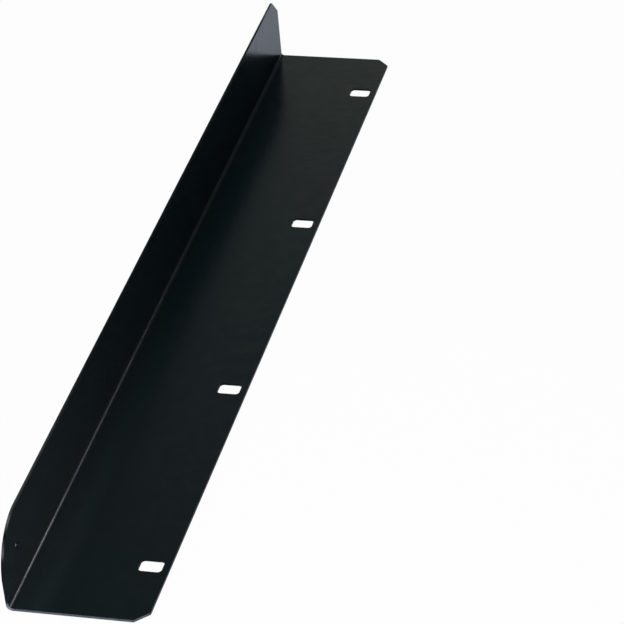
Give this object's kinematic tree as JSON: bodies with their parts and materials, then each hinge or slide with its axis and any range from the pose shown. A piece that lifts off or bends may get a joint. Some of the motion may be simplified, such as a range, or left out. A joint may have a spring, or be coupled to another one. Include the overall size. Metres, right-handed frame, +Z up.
{
  "type": "rack mount ear bracket",
  "caption": "Long L-shaped sheet-steel rack ear with slots along its wide flange, cut corners and a rounded nose on its standing flange, painted black.",
  "frame": {"origin": "centre of the wide flange's underside", "axes": "+X across the wide flange, from the fold to the free edge with the slots; +Y along the fold, from the rounded nose to the cut tail; +Z up the standing flange"},
  "size_m": [0.063, 0.4864, 0.0388],
  "materials": {
    "black_paint": "satin"
  },
  "bodies": {
    "root": {"bracket": "black_paint"}
  },
  "joints": []
}
